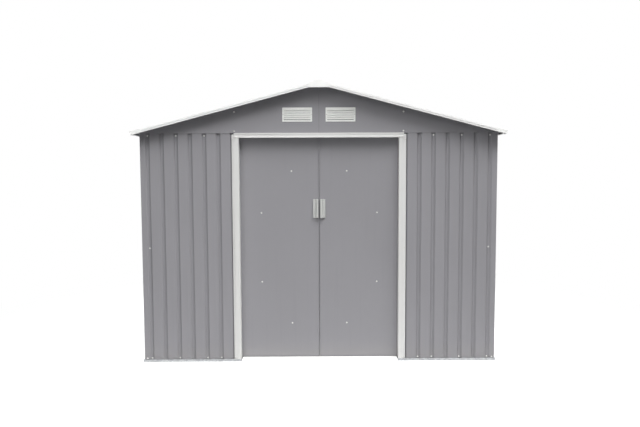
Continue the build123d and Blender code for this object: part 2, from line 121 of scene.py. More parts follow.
def linear(hex_colour):
    """An sRGB hex colour as linear red, green, blue."""
    values = [int(hex_colour[i:i + 2], 16) / 255 for i in (1, 3, 5)]
    return tuple(v / 12.92 if v <= 0.04045 else ((v + 0.055) / 1.055) ** 2.4 for v in values)


def colour(name, description, hex_colour):
    """A colour property with its default."""
    return bpy.props.FloatVectorProperty(name=name, description=description, subtype="COLOR", size=3,
                                         min=0.0, max=1.0, default=linear(hex_colour))


def length(name, description, default):
    """A length property in metres with its default."""
    return bpy.props.FloatProperty(name=name, description=description, default=default, min=0.0,
                                   unit="LENGTH", subtype="DISTANCE", precision=4)


class ShedColours(bpy.types.PropertyGroup):
    """Colours of the shed's finishes."""

    wall: colour("Wall paint", "Grey coil-coated paint on the walls, roof and doors", "#959498")
    trim: colour("Doorway paint", "Off-white paint on the jambs and the header", "#E2E2E0")
    # Painted light: the roof trims and the sill have the same white paint as the doorway; this brighter white
    # stands in for the fuller light they catch
    edging: colour("Edging paint", "Brighter white on the roof trims and the sill", "#FCFCFA")
    plastic: colour("Moulded plastic", "White ABS of the vents and caps", "#F8F9F6")
    grip: colour("Handle plastic", "Light grey ABS of the door handles", "#C5C6C4")
    zinc: colour("Zinc", "Galvanised steel of the rails", "#A7A9AB")
    screw: colour("Screws", "Plated screw heads", "#D6D5D2")
    washer: colour("Washers", "Soft PVC sealing washers", "#F6F6F4")
    nylon: colour("Glides", "Nylon door glides", "#D8D6CE")
    rubber: colour("Rubber", "Black EPDM of the stops in the track", "#232323")


class ShedSizes(bpy.types.PropertyGroup):
    """Sizes of the fittings that the CAD model leaves out."""

    head: length("Screw head", "Diameter of a screw's pan head", 8.0 * mm)
    head_height: length("Head height", "Height of a screw's pan head", 2.6 * mm)
    washer: length("Washer", "Diameter of a sealing washer", 11.0 * mm)
    washer_height: length("Washer height", "Thickness of a sealing washer", 1.6 * mm)
    recess: length("Recess", "Depth of the cross recess in a screw head", 1.2 * mm)
    tip: length("Screw tip", "How far a screw's point stands out inside", 9.0 * mm)
    nut: length("Nut", "Width of a nut across its flats", 8.0 * mm)
    nut_height: length("Nut height", "Height of a nut", 4.0 * mm)
    anchor: length("Anchor head", "Width of a ground anchor's head across its flats", 13.0 * mm)
    bracket: length("Bracket", "Length of a beam bracket's legs", 32.0 * mm)
    bracket_sheet: length("Bracket sheet", "Thickness of the brackets and gussets", 2.0 * mm)
    wire: length("Screen wire", "Thickness of the vent screens' wire", 0.8 * mm)
    wire_pitch: length("Wire pitch", "Spacing of the vent screens' wires", 6.0 * mm)
    sheet_edge: length("Sheet edge", "Softening of the painted sheets' cut edges", 0.25 * mm)
    trim_edge: length("Trim edge", "Softening of the trims' folds", 0.4 * mm)
    moulded_edge: length("Moulded edge", "Softening of the plastic pieces' edges", 0.9 * mm)


class ShedCamera(bpy.types.PropertyGroup):
    """The photographer's viewpoint."""

    place: bpy.props.FloatVectorProperty(name="Place", description="Where the camera stands", size=3,
                                         subtype="TRANSLATION", unit="LENGTH",
                                         default=(-0.0150, -4.852, 1.3369))
    lens: bpy.props.FloatProperty(name="Lens", description="Focal length on a 36 mm wide sensor",
                                  unit="CAMERA", default=31.724)
    tilt: bpy.props.FloatProperty(name="Tilt", description="How far the camera looks down", unit="ROTATION",
                                  subtype="ANGLE", default=0.0671)
    turn: bpy.props.FloatProperty(name="Turn", description="How far it looks to the left", unit="ROTATION",
                                  subtype="ANGLE", default=-0.0051)
    roll: bpy.props.FloatProperty(name="Roll", description="How far it leans", unit="ROTATION",
                                  subtype="ANGLE", default=-0.004)


# Finishes

def node(tree, kind, inputs=None, **settings):
    """Add a node with its settings; an input is a value or another node's socket."""
    made = tree.nodes.new(kind)
    for name, value in settings.items():
        setattr(made, name, value)
    for socket, value in (inputs or {}).items():
        if isinstance(value, bpy.types.NodeSocket):
            tree.links.new(value, made.inputs[socket])
        else:
            made.inputs[socket].default_value = value
    return made


def new_finish(name):
    """An empty node material, its tree, its shader and the place on the object in metres."""
    material = bpy.data.materials.new(name)
    material.use_nodes = True
    tree = material.node_tree
    tree.nodes.clear()
    shader = node(tree, "ShaderNodeBsdfPrincipled")
    node(tree, "ShaderNodeOutputMaterial", {"Surface": shader.outputs["BSDF"]})
    place = node(tree, "ShaderNodeTexCoord").outputs["Object"]
    return material, tree, shader, place


def rgba(value, gain):
    """A colour's red, green and blue times gain, with full alpha."""
    return tuple(min(1.0, v * gain) for v in value) + (1.0,)


def connect(tree, shader, tone, rough, bump=None):
    """Link a finish's colour, roughness and bump to its shader."""
    tree.links.new(tone.outputs["Result"], shader.inputs["Base Color"])
    tree.links.new(rough.outputs["Result"], shader.inputs["Roughness"])
    if bump:
        tree.links.new(bump.outputs["Normal"], shader.inputs["Normal"])


def coil_coated_steel(name, base):
    """Coil-coated corrugated steel: satin polyester paint, rolled on flat sheet before it was folded.

    It gives an even colour with a slight orange peel, sheets that are never quite flat, painted shade in the
    folds and under the laps, and a little dust near the ground.
    """
    material, tree, shader, place = new_finish(name)
    shader.inputs["IOR"].default_value = 1.45
    # Orange peel: cells of 2 mm on the real sheet, drawn at 6 mm so that they show
    peel = node(tree, "ShaderNodeTexNoise", {"Vector": place, "Scale": 1 / (6 * mm), "Detail": 2.0})
    # Oil canning: thin sheet bulges between its fixings, about 300 mm apart
    stretch = node(tree, "ShaderNodeMapping", {"Vector": place, "Scale": (1.0, 1.0, 0.45)})
    canning = node(tree, "ShaderNodeTexNoise", {"Vector": stretch.outputs["Vector"], "Scale": 1 / 0.30,
                                                "Detail": 1.0})
    # Drift of the paint's tone over 500 mm, and faint streaks where rain has run down, 25 mm wide
    drift = node(tree, "ShaderNodeTexNoise", {"Vector": place, "Scale": 1 / 0.5, "Detail": 3.0})
    run = node(tree, "ShaderNodeMapping", {"Vector": place, "Scale": (40.0, 40.0, 1.4)})
    streaks = node(tree, "ShaderNodeTexNoise", {"Vector": run.outputs["Vector"], "Scale": 1.0, "Detail": 2.0})
    tone = node(tree, "ShaderNodeMix", {"Factor": drift.outputs["Fac"], "A": rgba(base, 0.95),
                                        "B": rgba(base, 1.05)}, data_type="RGBA")
    streak_fac = node(tree, "ShaderNodeMapRange", {"Value": streaks.outputs["Fac"], "From Min": 0.58,
                                                   "From Max": 0.80, "To Min": 0.0, "To Max": 0.16})
    streaked = node(tree, "ShaderNodeMix", {"Factor": streak_fac.outputs["Result"],
                                            "A": tone.outputs["Result"], "B": rgba(base, 0.82)},
                    data_type="RGBA")
    # Dust splashed up from the ground, fading out by 140 mm
    height = node(tree, "ShaderNodeSeparateXYZ", {"Vector": place})
    splash = node(tree, "ShaderNodeTexNoise", {"Vector": place, "Scale": 1 / 0.035, "Detail": 4.0})
    ragged = node(tree, "ShaderNodeMath", {0: splash.outputs["Fac"], 1: 0.10}, operation="MULTIPLY")
    low = node(tree, "ShaderNodeMath", {0: height.outputs["Z"], 1: ragged.outputs["Value"]}, operation="ADD")
    dust = node(tree, "ShaderNodeMapRange", {"Value": low.outputs["Value"], "From Min": 0.02,
                                             "From Max": 0.19, "To Min": 0.22, "To Max": 0.0})
    dusted = node(tree, "ShaderNodeMix", {"Factor": dust.outputs["Result"], "A": streaked.outputs["Result"],
                                          "B": linear("#A39E96") + (1.0,)}, data_type="RGBA")
    # Painted shade: the paint darkens in the folds and under the laps, within 30 mm of them, where they shade
    # the sheet
    folds = node(tree, "ShaderNodeAmbientOcclusion", {"Distance": 30 * mm}, samples=8, only_local=True)
    painted_fold_shade = node(tree, "ShaderNodeMapRange", {"Value": folds.outputs["AO"], "From Min": 0.55, "From Max": 0.98,
                                             "To Min": 0.16, "To Max": 0.0})
    fold_shaded = node(tree, "ShaderNodeMix", {"Factor": painted_fold_shade.outputs["Result"], "A": dusted.outputs["Result"],
                                          "B": rgba(base, 0.25)}, data_type="RGBA")
    rough = node(tree, "ShaderNodeMapRange", {"Value": drift.outputs["Fac"], "To Min": 0.40, "To Max": 0.54})
    broad = node(tree, "ShaderNodeBump", {"Height": canning.outputs["Fac"], "Strength": 0.22,
                                          "Distance": 4.0 * mm})
    fine = node(tree, "ShaderNodeBump", {"Height": peel.outputs["Fac"], "Strength": 0.05,
                                         "Distance": 0.4 * mm, "Normal": broad.outputs["Normal"]})
    connect(tree, shader, fold_shaded, rough, fine)
    return material


def painted_trim(name, base):
    """White-painted folded trim: stoved enamel on thin strip, smooth and a little glossy.

    The folds catch the light, and fine handling marks break up the gloss.
    """
    material, tree, shader, place = new_finish(name)
    shader.inputs["IOR"].default_value = 1.5
    # Tone drift over 250 mm and handling marks 8 mm long
    drift = node(tree, "ShaderNodeTexNoise", {"Vector": place, "Scale": 1 / 0.25, "Detail": 2.0})
    marks = node(tree, "ShaderNodeTexNoise", {"Vector": place, "Scale": 1 / (8 * mm), "Detail": 3.0})
    tone = node(tree, "ShaderNodeMix", {"Factor": drift.outputs["Fac"], "A": rgba(base, 0.965),
                                        "B": rgba(base, 1.03)}, data_type="RGBA")
    soiled = node(tree, "ShaderNodeMapRange", {"Value": marks.outputs["Fac"], "From Min": 0.60,
                                               "From Max": 0.78, "To Min": 0.0, "To Max": 0.12})
    worn = node(tree, "ShaderNodeMix", {"Factor": soiled.outputs["Result"], "A": tone.outputs["Result"],
                                        "B": rgba(base, 0.78)}, data_type="RGBA")
    rough = node(tree, "ShaderNodeMapRange", {"Value": marks.outputs["Fac"], "To Min": 0.30, "To Max": 0.44})
    # Strip waves a little between its screws, about 120 mm apart
    wave = node(tree, "ShaderNodeTexNoise", {"Vector": place, "Scale": 1 / 0.12, "Detail": 0.0})
    bump = node(tree, "ShaderNodeBump", {"Height": wave.outputs["Fac"], "Strength": 0.18,
                                         "Distance": 2.0 * mm})
    connect(tree, shader, worn, rough, bump)
    return material


def moulded_abs(name, base):
    """Injection-moulded ABS: a fine spark-eroded grain that makes the white look soft."""
    material, tree, shader, place = new_finish(name)
    shader.inputs["IOR"].default_value = 1.54
    # Mould grain: 0.5 mm on the real piece, drawn at 3 mm so that it shows
    grain = node(tree, "ShaderNodeTexNoise", {"Vector": place, "Scale": 1 / (3 * mm), "Detail": 3.0})
    flow = node(tree, "ShaderNodeTexNoise", {"Vector": place, "Scale": 1 / 0.06, "Detail": 1.0})
    tone = node(tree, "ShaderNodeMix", {"Factor": flow.outputs["Fac"], "A": rgba(base, 0.95),
                                        "B": rgba(base, 1.04)}, data_type="RGBA")
    rough = node(tree, "ShaderNodeMapRange", {"Value": grain.outputs["Fac"], "To Min": 0.42, "To Max": 0.56})
    bump = node(tree, "ShaderNodeBump", {"Height": grain.outputs["Fac"], "Strength": 0.12,
                                         "Distance": 0.3 * mm})
    connect(tree, shader, tone, rough, bump)
    return material


def galvanised_steel(name, base):
    """Hot-dip galvanised strip: zinc crystals, the spangle, each with its own shade of dull grey."""
    material, tree, shader, place = new_finish(name)
    shader.inputs["Metallic"].default_value = 1.0
    # Spangle crystals about 12 mm across, ragged at their edges
    ragged = node(tree, "ShaderNodeTexNoise", {"Vector": place, "Scale": 1 / (7 * mm), "Detail": 2.0})
    warp = node(tree, "ShaderNodeMix", {"Factor": 0.004, "A": place, "B": ragged.outputs["Color"]},
                data_type="VECTOR")
    spangle = node(tree, "ShaderNodeTexVoronoi", {"Vector": warp.outputs["Result"], "Scale": 1 / (12 * mm)})
    shade = node(tree, "ShaderNodeSeparateColor", {"Color": spangle.outputs["Color"]})
    tone = node(tree, "ShaderNodeMix", {"Factor": shade.outputs["Red"], "A": rgba(base, 0.82),
                                        "B": rgba(base, 1.14)}, data_type="RGBA")
    rough = node(tree, "ShaderNodeMapRange", {"Value": shade.outputs["Green"], "To Min": 0.36,
                                              "To Max": 0.56})
    bump = node(tree, "ShaderNodeBump", {"Height": spangle.outputs["Distance"], "Strength": 0.08,
                                         "Distance": 0.2 * mm})
    connect(tree, shader, tone, rough, bump)
    return material


def plated_screw(name, base):
    """Bright zinc-plated screw steel, slightly dulled: it glints beside the paint."""
    material, tree, shader, place = new_finish(name)
    shader.inputs["Metallic"].default_value = 1.0
    # Plating varies over 3 mm
    patch = node(tree, "ShaderNodeTexNoise", {"Vector": place, "Scale": 1 / (3 * mm), "Detail": 3.0})
    tone = node(tree, "ShaderNodeMix", {"Factor": patch.outputs["Fac"], "A": rgba(base, 0.85),
                                        "B": rgba(base, 1.12)}, data_type="RGBA")
    rough = node(tree, "ShaderNodeMapRange", {"Value": patch.outputs["Fac"], "To Min": 0.22, "To Max": 0.42})
    connect(tree, shader, tone, rough)
    return material


def soft_plastic(name, base, roughness):
    """Moulded soft PVC or nylon: waxy, slightly mottled."""
    material, tree, shader, place = new_finish(name)
    shader.inputs["IOR"].default_value = 1.53
    mottle = node(tree, "ShaderNodeTexNoise", {"Vector": place, "Scale": 1 / (5 * mm), "Detail": 2.0})
    tone = node(tree, "ShaderNodeMix", {"Factor": mottle.outputs["Fac"], "A": rgba(base, 0.92),
                                        "B": rgba(base, 1.05)}, data_type="RGBA")
    rough = node(tree, "ShaderNodeMapRange", {"Value": mottle.outputs["Fac"], "To Min": roughness - 0.08,
                                              "To Max": roughness + 0.08})
    connect(tree, shader, tone, rough)
    return material


finish_makers = {
    "coil_coated_steel": lambda c: coil_coated_steel("coil_coated_steel", c.wall),
    "stoved_white_doorway": lambda c: painted_trim("stoved_white_doorway", c.trim),
    "stoved_white_lit_edging": lambda c: painted_trim("stoved_white_lit_edging", c.edging),
    "moulded_abs": lambda c: moulded_abs("moulded_abs", c.plastic),
    "moulded_abs_grey": lambda c: moulded_abs("moulded_abs_grey", c.grip),
    "galvanised_steel": lambda c: galvanised_steel("galvanised_steel", c.zinc),
    "plated_screw": lambda c: plated_screw("plated_screw", c.screw),
    "soft_pvc": lambda c: soft_plastic("soft_pvc", c.washer, 0.45),
    "nylon": lambda c: soft_plastic("nylon", c.nylon, 0.38),
    "epdm_rubber": lambda c: soft_plastic("epdm_rubber", c.rubber, 0.70),
}


def finish(name):
    """The finish of that name, made on first use from the scene's colours."""
    made = bpy.data.materials.get(name)
    return made or finish_makers[name](bpy.context.scene.shed_colours)


def soften(piece, name, width):
    """Round a piece's edges to a width."""
    bevel = piece.modifiers.new(name, "BEVEL")
    bevel.width = width
    bevel.segments = 2
    bevel.limit_method = "ANGLE"
    return bevel


def dress(names, finish_name, edge, sharpest=40.0):
    """Give CAD nodes a finish, and soften their edges that turn by more than an angle in degrees."""
    for name in names:
        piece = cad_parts[name]
        piece.data.materials.clear()
        piece.data.materials.append(finish(finish_name))
        bevel = soften(piece, "softened_edges", edge)
        bevel.angle_limit = math.radians(sharpest)


# Fasteners

def turned(bm, place, towards, profile, sides=16, finish_index=0):
    """Add a turned form: rings of (radius, height) along the outward direction, open at both ends."""
    turn = towards.to_track_quat("Z", "Y").to_matrix()
    rings = []
    for radius, height in profile:
        ring = []
        for side in range(sides):
            angle = 2 * math.pi * side / sides
            local = Vector((radius * math.cos(angle), radius * math.sin(angle), height))
            ring.append(bm.verts.new(place + turn @ local))
        rings.append(ring)
    for lower, upper in zip(rings, rings[1:]):
        for side in range(sides):
            nxt = (side + 1) % sides
            face = bm.faces.new((lower[side], lower[nxt], upper[nxt], upper[side]))
            face.material_index = finish_index
            face.smooth = True
    return rings, turn


def add_screw(bm, place, towards, sizes, washer=True, scale=1.0):
    """A pan-head screw with a cross recess, on a domed sealing washer where it has one."""
    place = Vector(place)
    towards = Vector(towards).normalized()
    base = 0.0
    if washer:
        r, h = sizes.washer / 2 * scale, sizes.washer_height * scale
        turned(bm, place, towards, [(r, 0.0), (r, 0.45 * h), (0.92 * r, 0.8 * h), (0.7 * r, h),
                                    (0.45 * r, h)], 16, 1)
        base = h
    r, h = sizes.head / 2 * scale, sizes.head_height * scale
    rings, turn = turned(bm, place, towards, [(r, base - 0.3 * h if washer else 0.0), (r, base + 0.35 * h),
                                              (0.9 * r, base + 0.75 * h), (0.68 * r, base + h)], 16, 0)
    # The recess: a cross whose arms run out to 0.55 of the head, sunk below its crown
    crown = rings[-1]
    cross = []
    for side in range(16):
        angle = 2 * math.pi * side / 16
        arm = side % 4 == 0
        reach = (0.55 if arm else 0.22) * r
        local = Vector((reach * math.cos(angle), reach * math.sin(angle), base + h))
        cross.append(bm.verts.new(place + turn @ local))
    for side in range(16):
        nxt = (side + 1) % 16
        face = bm.faces.new((crown[side], crown[nxt], cross[nxt], cross[side]))
        face.smooth = False
    bottom = bm.verts.new(place + turn @ Vector((0.0, 0.0, base + h - sizes.recess * scale)))
    for side in range(16):
        face = bm.faces.new((cross[side], cross[(side + 1) % 16], bottom))
        face.smooth = False


def screw_piece(name, body, screws, scale=1.0):
    """One piece holding many screws, each (place, direction, has a washer)."""
    sizes = bpy.context.scene.shed_sizes
    bm = bmesh.new()
    for place, towards, washer in screws:
        add_screw(bm, place, towards, sizes, washer, scale)
    return new_piece(name, bm, ["plated_screw", "soft_pvc"], body)


def add_tip(bm, place, towards, length_out):
    """The threaded point of a self-tapping screw where it comes through a rail."""
    profile = []
    threads = 4
    for thread in range(threads):
        high = 0.7 * length_out * thread / threads
        profile += [(1.7 * mm, high), (2.4 * mm, high + 0.35 * length_out / threads)]
    profile += [(1.6 * mm, 0.72 * length_out), (0.2 * mm, length_out)]
    turned(bm, Vector(place), Vector(towards), profile, 10)


def add_nut(bm, place, towards, across, height, sides=6):
    """A hexagon nut or bolt head: chamfered corners and a sunk middle."""
    r = across / 2 / math.cos(math.pi / sides)
    profile = [(r, 0.0), (r, 0.82 * height), (0.9 * r, height), (0.5 * r, height), (0.46 * r, 0.75 * height),
               (0.02 * r, 0.75 * height)]
    turned(bm, Vector(place), Vector(towards), profile, sides)


def add_disc(bm, place, towards, radius, height):
    """A flat washer with eased edges."""
    profile = [(radius, 0.0), (radius, 0.7 * height), (0.95 * radius, height), (0.3 * radius, height)]
    turned(bm, Vector(place), Vector(towards), profile, 20)


def add_plate(bm, outline, depth):
    """A plate: a flat outline of points and its thickness as a vector."""
    near = [bm.verts.new(Vector(point)) for point in outline]
    far = [bm.verts.new(Vector(point) + Vector(depth)) for point in outline]
    bm.faces.new(near)
    bm.faces.new(list(reversed(far)))
    for i in range(len(near)):
        j = (i + 1) % len(near)
        bm.faces.new((near[i], far[i], far[j], near[j]))


def new_piece(name, bm, finishes, body):
    """Turn a bmesh into a named piece that rides on a body."""
    bmesh.ops.recalc_face_normals(bm, faces=bm.faces)
    mesh = bpy.data.meshes.new(name)
    bm.to_mesh(mesh)
    bm.free()
    for finish_name in finishes:
        mesh.materials.append(finish(finish_name))
    piece = bpy.data.objects.new(name, mesh)
    bpy.context.scene.collection.objects.link(piece)
    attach(piece, body)
    return piece


def both_sides(screws):
    """The same screws on the left and right halves."""
    return screws + [((-x, y, z), (-a, b, c), washer) for (x, y, z), (a, b, c), washer in screws]


def front_and_back(screws):
    """The same screws on the front and the back."""
    return screws + [((x, -y, z), (a, -b, c), washer) for (x, y, z), (a, b, c), washer in screws]


def on_slope(along, above, y):
    """A point of the right-hand roof: along the slope from the ridge, above the sheet's underside."""
    ridge = roof_ridge()
    return Vector((along * math.cos(roof_tilt) + above * math.sin(roof_tilt), y,
                   ridge - along * math.sin(roof_tilt) + above * math.cos(roof_tilt)))


def roof_ridge():
    """Height of the roof sheets' undersides where they would meet."""
    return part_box("ridge_cap")[1][2] - trim_top / math.cos(roof_tilt)


front = (0.0, -1.0, 0.0)
right = (1.0, 0.0, 0.0)
slope_up = (math.sin(roof_tilt), 0.0, math.cos(roof_tilt))


class SHED_OT_walls(bpy.types.Operator):
    """Paint the walls, corners, gables and roof sheets"""

    bl_idname = "shed.walls"
    bl_label = "Walls and roof sheets"

    def execute(self, context):
        sizes = context.scene.shed_sizes
        dress(walls + corners + gables + roof_sheets, "coil_coated_steel", sizes.sheet_edge)
        return {"FINISHED"}


class SHED_OT_doors(bpy.types.Operator):
    """Paint the door leaves and finish their handles and glides"""

    bl_idname = "shed.doors"
    bl_label = "Doors"

    def execute(self, context):
        sizes = context.scene.shed_sizes
        dress(door_panels, "coil_coated_steel", sizes.sheet_edge)
        dress(handles, "moulded_abs_grey", sizes.moulded_edge, 25.0)
        dress(glides, "nylon", sizes.moulded_edge)
        return {"FINISHED"}


class SHED_OT_trims(bpy.types.Operator):
    """Paint the folded trims white"""

    bl_idname = "shed.trims"
    bl_label = "White trims"

    def execute(self, context):
        edge = context.scene.shed_sizes.trim_edge
        dress(doorway_trims, "stoved_white_doorway", edge, 25.0)
        # The roof trims and the sill take the brighter white, which is painted light
        dress(edge_trims, "stoved_white_lit_edging", edge, 25.0)
        return {"FINISHED"}


class SHED_OT_mouldings(bpy.types.Operator):
    """Finish the moulded roof caps and vents"""

    bl_idname = "shed.mouldings"
    bl_label = "Moulded caps and vents"

    def execute(self, context):
        sizes = context.scene.shed_sizes
        dress(moulded_caps, "moulded_abs", sizes.moulded_edge, 25.0)
        dress(moulded_vents, "moulded_abs", 0.5 * sizes.moulded_edge, 25.0)
        return {"FINISHED"}


class SHED_OT_rails(bpy.types.Operator):
    """Galvanise the frame"""

    bl_idname = "shed.rails"
    bl_label = "Galvanised frame"

    def execute(self, context):
        dress(rails, "galvanised_steel", context.scene.shed_sizes.sheet_edge)
        return {"FINISHED"}


def wall_screws():
    """Every wall screw, as (place, direction, has a washer)."""
    lap_x = side_face - corner_leg
    lap_y = wall_face - corner_leg
    rows = (foot_row, middle_row, head_row)
    front_floor = -wall_face + groove_floor
    front_screws = [((lap_x, front_floor - sheet, z), front, True) for z in rows]
    for k in front_grooves:
        for z in (foot_row, head_row):
            front_screws.append(((lap_x - k * groove_pitch, front_floor, z), front, True))
    front_screws.append(((lap_x - front_foot_groove * groove_pitch, front_floor, foot_row), front, True))
    # A second screw at the foot of each front corner panel's flat
    front_screws.append(((side_face - corner_screw_inset, -wall_face, foot_row), front, True))
    back_screws = [((lap_x, -front_floor + sheet, z), (0, 1, 0), True) for z in rows]
    for k in back_grooves:
        for z in rows:
            back_screws.append(((lap_x - k * groove_pitch, -front_floor, z), (0, 1, 0), True))
    side_screws = []
    for z in rows:
        for y in (-lap_y, lap_y):
            side_screws.append(((side_face - groove_floor + sheet, y, z), right, True))
        for k in side_grooves:
            side_screws.append(((side_face - groove_floor, k * groove_pitch, z), right, True))
    return both_sides(front_screws + back_screws + side_screws)


class SHED_OT_wall_screws(bpy.types.Operator):
    """Screws along the head, middle and foot of the walls, with their points inside"""

    bl_idname = "shed.wall_screws"
    bl_label = "Wall screws"

    def execute(self, context):
        sizes = context.scene.shed_sizes
        screws = wall_screws()
        screw_piece("wall_screws", "shed", screws)
        bm = bmesh.new()
        for place, towards, _ in screws:
            x, y, z = place
            if abs(towards[1]) > 0.5:
                inside = (x, math.copysign(wall_face - rail_back, y), z)
            else:
                inside = (math.copysign(side_face - rail_back, x), y, z)
            add_tip(bm, inside, -Vector(towards), sizes.tip)
        new_piece("wall_screw_tips", bm, ["plated_screw"], "shed")
        return {"FINISHED"}


class SHED_OT_gable_screws(bpy.types.Operator):
    """Screws through the gables into the rails and beams"""

    bl_idname = "shed.gable_screws"
    bl_label = "Gable screws"

    def execute(self, context):
        screws = [((x, -gable_face, z), front, True) for x, z in gable_screws]
        screw_piece("gable_screws", "shed", front_and_back(both_sides(screws)))
        return {"FINISHED"}


class SHED_OT_doorway_screws(bpy.types.Operator):
    """Screws at the header's ends, half way up the jambs and at their feet"""

    bl_idname = "shed.doorway_screws"
    bl_label = "Doorway screws"

    def execute(self, context):
        flange = -wall_face - fold
        screws = []
        for x in header_screws:
            screws.append(((x, -header_face, gable_low - header_drop), front, False))
        for z in flange_rows:
            screws.append(((flange_column, flange, z), front, False))
        for x in jamb_foot_screws:
            screws.append(((x, -jamb_face, jamb_foot_row), front, False))
        screw_piece("doorway_screws", "shed", both_sides(screws))
        return {"FINISHED"}


class SHED_OT_door_screws(bpy.types.Operator):
    """Screws through the door leaves into their braces, their nuts inside, and the handles' screws"""

    bl_idname = "shed.door_screws"
    bl_label = "Door screws"

    def execute(self, context):
        sizes = context.scene.shed_sizes
        grip_middle = (handle_low[2] + handle_high[2]) / 2
        for side, sign in (("right", 1), ("left", -1)):
            body = side + "_door"
            screws = [((sign * x, door_face, z), front, True) for x, z in brace_screws]
            screw_piece(side + "_door_screws", body, screws)
            bm = bmesh.new()
            for x, z in brace_screws:
                seat = (sign * x, brace_front + fold, z)
                add_disc(bm, seat, (0, 1, 0), 0.8 * sizes.nut, fold)
                nut_seat = (seat[0], seat[1] + fold, seat[2])
                add_nut(bm, nut_seat, (0, 1, 0), sizes.nut, sizes.nut_height)
            new_piece(side + "_door_nuts", bm, ["plated_screw"], body)
            grip = [((sign * handle_pan_x, door_face - handle_pan_proud, grip_middle + rise), front, False)
                    for rise in (-handle_screw_reach, handle_screw_reach)]
            screw_piece(side + "_handle_screws", body, grip, handle_screw)
        return {"FINISHED"}


class SHED_OT_vent_fittings(bpy.types.Operator):
    """Screws at the vents' borders, and a woven wire screen behind their slats"""

    bl_idname = "shed.vent_fittings"
    bl_label = "Vent screws and screens"

    def execute(self, context):
        sizes = context.scene.shed_sizes
        low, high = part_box("front_vents")
        middle_z = (low[2] + high[2]) / 2
        half_width = high[0] - vent_x
        screws = [((vent_x + reach, -vent_face, middle_z), front, False)
                  for reach in (vent_border / 2 - half_width, half_width - vent_border / 2)]
        screw_piece("vent_screws", "shed", front_and_back(both_sides(screws)), vent_screw)
        # The weave: wires go over and under each other in turn
        span_x = half_width - vent_border / 2 - fold
        span_z = (high[2] - low[2]) / 2 - vent_border / 2 - fold
        bm = bmesh.new()
        for y_sign in (-1, 1):
            plane = y_sign * (vent_back - 1.5 * sizes.wire)
            for x_sign in (-1, 1):
                centre = Vector((x_sign * vent_x, plane, middle_z))
                add_weave(bm, centre, span_x, span_z, sizes.wire_pitch, sizes.wire)
        new_piece("vent_screens", bm, ["galvanised_steel"], "shed")
        return {"FINISHED"}


def add_weave(bm, centre, half_x, half_z, pitch, wire):
    """A rectangle of woven wire in the plane of the gables."""
    for half_along, half_across, upright in ((half_x, half_z, False), (half_z, half_x, True)):
        rows = int(half_across / pitch)
        steps = int(half_along / pitch)
        for row in range(-rows, rows + 1):
            ring = None
            for step in range(-steps, steps + 1):
                lift = 0.5 * wire * (1 if (row + step) % 2 == upright else -1)
                along, across = step * pitch, row * pitch
                corners = []
                for a, b in ((-0.5, -0.5), (0.5, -0.5), (0.5, 0.5), (-0.5, 0.5)):
                    depth = lift + a * wire
                    side = across + b * wire
                    offset = Vector((side, depth, along)) if upright else Vector((along, depth, side))
                    corners.append(bm.verts.new(centre + offset))
                if ring:
                    for i in range(4):
                        bm.faces.new((ring[i], ring[(i + 1) % 4], corners[(i + 1) % 4], corners[i]))
                ring = corners


class SHED_OT_seams(bpy.types.Operator):
    """A riveted strap behind the back wall's seam, and rubber strips that close the gables' seams"""

    bl_idname = "shed.seams"
    bl_label = "Seam strap and seals"

    def execute(self, context):
        half, hem, rivet_x, rivet_steps = 16 * mm, 3.5 * mm, 9 * mm, 8
        inner = wall_face - sheet
        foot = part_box("back_wall")[0][2]
        # The strap: flat on the sheet, with its two edges turned inwards
        section = ((-half, 0.0), (half, 0.0), (half, hem), (half - sheet, hem), (half - sheet, sheet),
                   (sheet - half, sheet), (sheet - half, hem), (-half, hem))
        bm = bmesh.new()
        add_plate(bm, [(x, inner - depth, foot + fold) for x, depth in section],
                  (0, 0, wall_head - foot - 2 * fold))
        strap = new_piece("seam_strap", bm, ["coil_coated_steel"], "shed")
        soften(strap, "eased_edges", 0.15 * mm)
        bm = bmesh.new()
        rivet_profile = [(2.6 * mm, 0.0), (2.6 * mm, 0.4 * mm), (2.1 * mm, 1.1 * mm), (0.9 * mm, 1.4 * mm),
                         (0.8 * mm, 0.9 * mm), (0.05 * mm, 0.9 * mm)]
        for step in range(1, rivet_steps):
            for x in (-rivet_x, rivet_x):
                place = Vector((x, inner - sheet, foot + step * (wall_head - foot) / rivet_steps))
                turned(bm, place, Vector((0, -1, 0)), rivet_profile, 12)
        new_piece("seam_rivets", bm, ["plated_screw"], "shed")
        # The seals: a stem between the gable's two folds, sunk below its face, and a lip inside
        stem, sunk, lip, lip_depth = 0.38 * mm, 0.9 * mm, 4 * mm, 1.6 * mm
        above_foot, below_ridge = 2.5 * mm, 62 * mm
        fold_end = -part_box("front_gable")[1][1]
        bm = bmesh.new()
        for sign in (-1, 1):
            section = ((-stem, gable_face - sunk), (stem, gable_face - sunk), (stem, fold_end),
                       (lip, fold_end), (0.7 * lip, fold_end - lip_depth),
                       (-0.7 * lip, fold_end - lip_depth), (-lip, fold_end), (-stem, fold_end))
            low, high = gable_low + above_foot, roof_ridge() - below_ridge
            add_plate(bm, [(x, sign * y, low) for x, y in section], (0, 0, high - low))
        new_piece("seam_seals", bm, ["epdm_rubber"], "shed")
        return {"FINISHED"}


class SHED_OT_roof_screws(bpy.types.Operator):
    """Screws through the roof's ribs into the ridge beam, the purlins and the eaves, and through the trims"""

    bl_idname = "shed.roof_screws"
    bl_label = "Roof screws"

    def execute(self, context):
        screws = [(tuple(on_slope(along, above, y)), slope_up, True)
                  for y in roof_ribs for along, above in roof_rows]
        screw_piece("roof_screws", "shed", both_sides(screws))
        flange = roof_front - trim_inset
        small = [(tuple(on_slope(along, trim_top, -flange)), slope_up, False)
                 for along in trim_rows]
        small = front_and_back(small)
        eave = (eave_edge - trim_inset - trim_top * math.sin(roof_tilt)) / math.cos(roof_tilt)
        for k in range(-3, 4):
            small.append((tuple(on_slope(eave, trim_top, rib_pitch * k)), slope_up, False))
        screw_piece("trim_screws", "shed", both_sides(small), light_screw)
        return {"FINISHED"}


